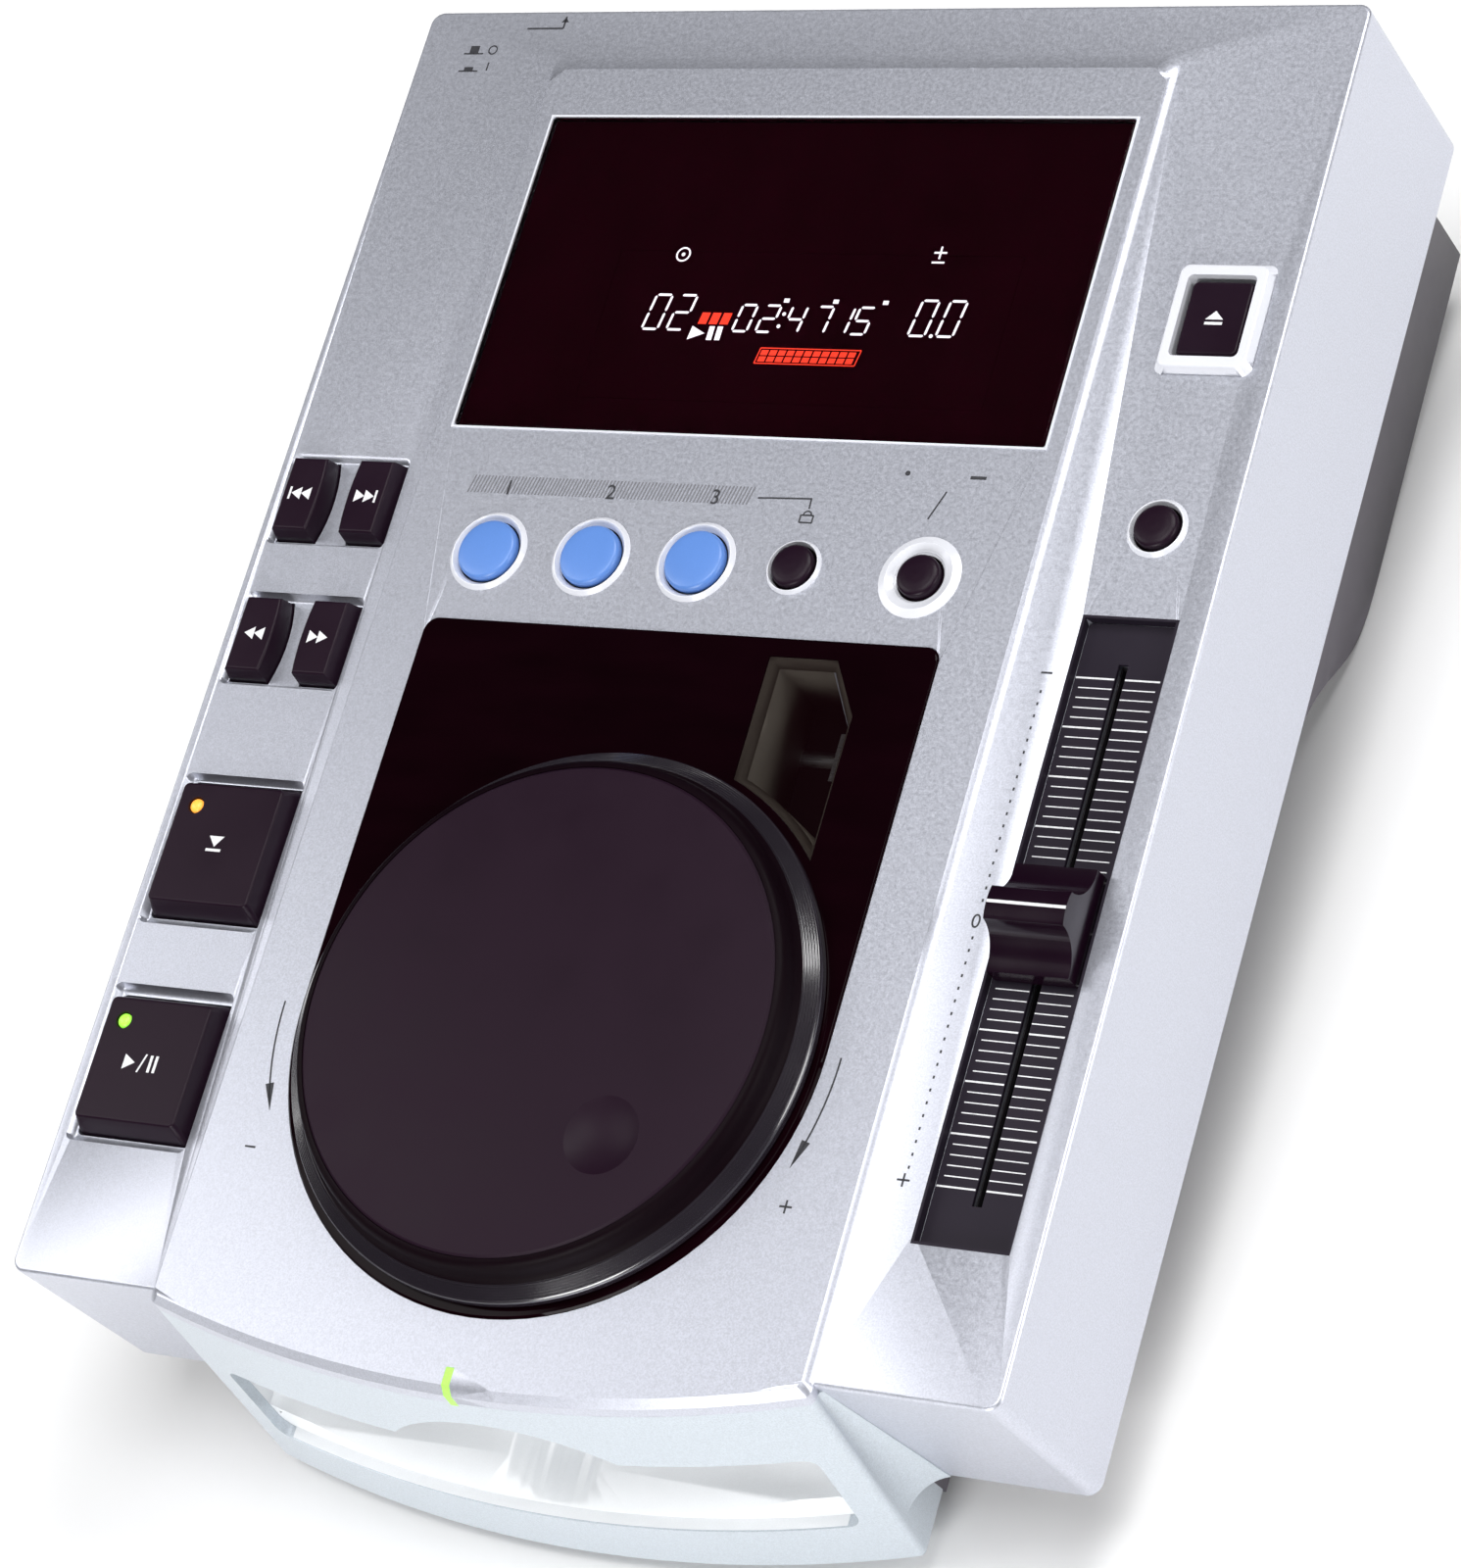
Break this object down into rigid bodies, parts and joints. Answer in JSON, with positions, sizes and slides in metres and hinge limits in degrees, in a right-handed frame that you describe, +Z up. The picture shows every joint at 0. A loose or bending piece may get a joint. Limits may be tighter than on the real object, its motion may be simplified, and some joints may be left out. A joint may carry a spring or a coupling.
{
  "type": "tabletop disc player",
  "caption": "Tabletop disc player with a front loading slot, a big jog dial, a display window, transport keys and a tempo slider.",
  "frame": {"origin": "middle of the part's box on the table, in the plane of the four soles", "axes": "+X to the player's right, +Y to the back, +Z up; the deck slopes up to the back by 6.77 degrees"},
  "size_m": [0.217, 0.312, 0.0973],
  "materials": {
    "silver": "silver satin with a fine metallic grain",
    "pale": "pale satin",
    "bright": "bright silver",
    "dark_case": "dark grey satin",
    "gloss_black": "gloss black",
    "smoke_clear": "smoked clear",
    "tube_glass": "dark glass",
    "jog_black": "matt black",
    "key_black": "satin black",
    "knob_black": "satin black",
    "black": "matt black",
    "blue": "satin blue",
    "green_clear": "lit green",
    "lamp": "lit lens",
    "rubber": "matt",
    "felt": "felt",
    "steel": "plated",
    "screw_black": "black zinc",
    "brass": "satin",
    "iron": "varnished",
    "board": "lacquered board"
  },
  "bodies": {
    "body": {"top_case": "silver", "nose": "silver", "light_guide": "green_clear", "slot_throat": "pale", "slot_lips": "felt", "lower_case": "dark_case", "rear_panel": "dark_case", "feet": "rubber", "case_screws": "screw_black", "display_window": "gloss_black", "display_tube": "tube_glass", "jog_window": "gloss_black", "view_window": "smoke_clear", "jog_bracket": "steel", "jog_bush": "brass", "jog_sensor": "black", "key_lamps": "lamp", "eject_frame": "silver", "button_rings": "bright", "scale_plate": "black", "fader_body": "steel", "control_boards": "board", "key_switches": "black", "main_board": "board", "power_board": "board", "transformer": "iron", "mech_frame": "steel", "dampers": "rubber", "spindle_motor": "steel", "guide_rods": "steel", "feed_motors": "steel", "rear_sockets": "black", "mains_inlet": "black", "power_switch": "black"},
    "jog": {"jog_dial": "jog_black", "jog_shaft": "steel", "encoder_disc": "black"},
    "tempo_slider": {"slider_knob": "knob_black", "fader_lever": "steel"},
    "roller": {"loading_roller": "rubber"},
    "turntable": {"turntable_hub": "black"},
    "clamp_lever": {"clamp_arm": "steel"},
    "clamp_disc": {"clamper": "pale"},
    "pickup": {"pickup_sled": "black"},
    "feed_screw": {"lead_screw": "steel"},
    "power_push": {"power_button": "key_black"},
    "cue_key_push": {"cue_key": "key_black"},
    "play_key_push": {"play_key": "key_black"},
    "track_back_key_push": {"track_back_key": "key_black"},
    "track_forward_key_push": {"track_forward_key": "key_black"},
    "search_back_key_push": {"search_back_key": "key_black"},
    "search_forward_key_push": {"search_forward_key": "key_black"},
    "eject_key_push": {"eject_key": "key_black"},
    "effect_button_1_push": {"effect_button_1": "blue"},
    "effect_button_2_push": {"effect_button_2": "blue"},
    "effect_button_3_push": {"effect_button_3": "blue"},
    "hold_button_push": {"hold_button": "key_black"},
    "mode_button_push": {"mode_button": "key_black"},
    "tempo_lock_button_push": {"tempo_lock_button": "key_black"}
  },
  "joints": [
    {"name": "jog_spin", "type": "hinge", "parent": "body", "child": "jog", "pos_m": [-0.0015, -0.08092, 0.08215], "axis": [0, -0.1178, 0.993], "continuous": true},
    {"name": "tempo_slide", "type": "slide", "parent": "body", "child": "tempo_slider", "axis": [0, 0.993, 0.1178], "range_m": [-0.05, 0.05]},
    {"name": "roller_spin", "type": "hinge", "parent": "body", "child": "roller", "pos_m": [-0.0015, -0.12591, 0.0319], "axis": [1, 0, 0], "continuous": true},
    {"name": "turntable_spin", "type": "hinge", "parent": "body", "child": "turntable", "pos_m": [-0.0015, -0.07615, 0.04193], "axis": [0, -0.1178, 0.993], "continuous": true},
    {"name": "clamp_lift", "type": "hinge", "parent": "body", "child": "clamp_lever", "pos_m": [-0.0015, -0.01143, 0.06008], "axis": [-1, 0, 0], "range_deg": [0, 3]},
    {"name": "clamp_disc_spin", "type": "hinge", "parent": "clamp_lever", "child": "clamp_disc", "pos_m": [-0.0015, -0.07744, 0.05285], "axis": [0, -0.1178, 0.993], "continuous": true},
    {"name": "pickup_slide", "type": "slide", "parent": "body", "child": "pickup", "axis": [0, 0.993, 0.1178], "range_m": [0, 0.034]},
    {"name": "feed_screw_spin", "type": "hinge", "parent": "body", "child": "feed_screw", "pos_m": [0.0275, -0.07467, 0.02952], "axis": [0, 0.993, 0.1178], "range_deg": [-30, 4110]},
    {"name": "power_push", "type": "slide", "parent": "body", "child": "power_push", "axis": [0, -0.993, -0.1178], "range_m": [0, 0.003], "stiffness_N_per_m": 300, "springref_m": -0.001},
    {"name": "cue_key_press", "type": "slide", "parent": "body", "child": "cue_key_push", "axis": [0, 0.1178, -0.993], "range_m": [0, 0.001], "stiffness_N_per_m": 400, "springref_m": -0.0006},
    {"name": "play_key_press", "type": "slide", "parent": "body", "child": "play_key_push", "axis": [0, 0.1178, -0.993], "range_m": [0, 0.001], "stiffness_N_per_m": 400, "springref_m": -0.0006},
    {"name": "track_back_key_press", "type": "slide", "parent": "body", "child": "track_back_key_push", "axis": [0, 0.1178, -0.993], "range_m": [0, 0.001], "stiffness_N_per_m": 400, "springref_m": -0.0006},
    {"name": "track_forward_key_press", "type": "slide", "parent": "body", "child": "track_forward_key_push", "axis": [0, 0.1178, -0.993], "range_m": [0, 0.001], "stiffness_N_per_m": 400, "springref_m": -0.0006},
    {"name": "search_back_key_press", "type": "slide", "parent": "body", "child": "search_back_key_push", "axis": [0, 0.1178, -0.993], "range_m": [0, 0.001], "stiffness_N_per_m": 400, "springref_m": -0.0006},
    {"name": "search_forward_key_press", "type": "slide", "parent": "body", "child": "search_forward_key_push", "axis": [0, 0.1178, -0.993], "range_m": [0, 0.001], "stiffness_N_per_m": 400, "springref_m": -0.0006},
    {"name": "eject_key_press", "type": "slide", "parent": "body", "child": "eject_key_push", "axis": [0, 0.1178, -0.993], "range_m": [0, 0.001], "stiffness_N_per_m": 400, "springref_m": -0.0006},
    {"name": "effect_button_1_press", "type": "slide", "parent": "body", "child": "effect_button_1_push", "axis": [0, 0.1178, -0.993], "range_m": [0, 0.001], "stiffness_N_per_m": 400, "springref_m": -0.0006},
    {"name": "effect_button_2_press", "type": "slide", "parent": "body", "child": "effect_button_2_push", "axis": [0, 0.1178, -0.993], "range_m": [0, 0.001], "stiffness_N_per_m": 400, "springref_m": -0.0006},
    {"name": "effect_button_3_press", "type": "slide", "parent": "body", "child": "effect_button_3_push", "axis": [0, 0.1178, -0.993], "range_m": [0, 0.001], "stiffness_N_per_m": 400, "springref_m": -0.0006},
    {"name": "hold_button_press", "type": "slide", "parent": "body", "child": "hold_button_push", "axis": [0, 0.1178, -0.993], "range_m": [0, 0.001], "stiffness_N_per_m": 400, "springref_m": -0.0006},
    {"name": "mode_button_press", "type": "slide", "parent": "body", "child": "mode_button_push", "axis": [0, 0.1178, -0.993], "range_m": [0, 0.001], "stiffness_N_per_m": 400, "springref_m": -0.0006},
    {"name": "tempo_lock_button_press", "type": "slide", "parent": "body", "child": "tempo_lock_button_push", "axis": [0, 0.1178, -0.993], "range_m": [0, 0.001], "stiffness_N_per_m": 400, "springref_m": -0.0006}
  ],
  "couplings": [
    {"joint": "feed_screw_spin", "follows": "pickup_slide", "rad_per_m": 2094.4}
  ]
}
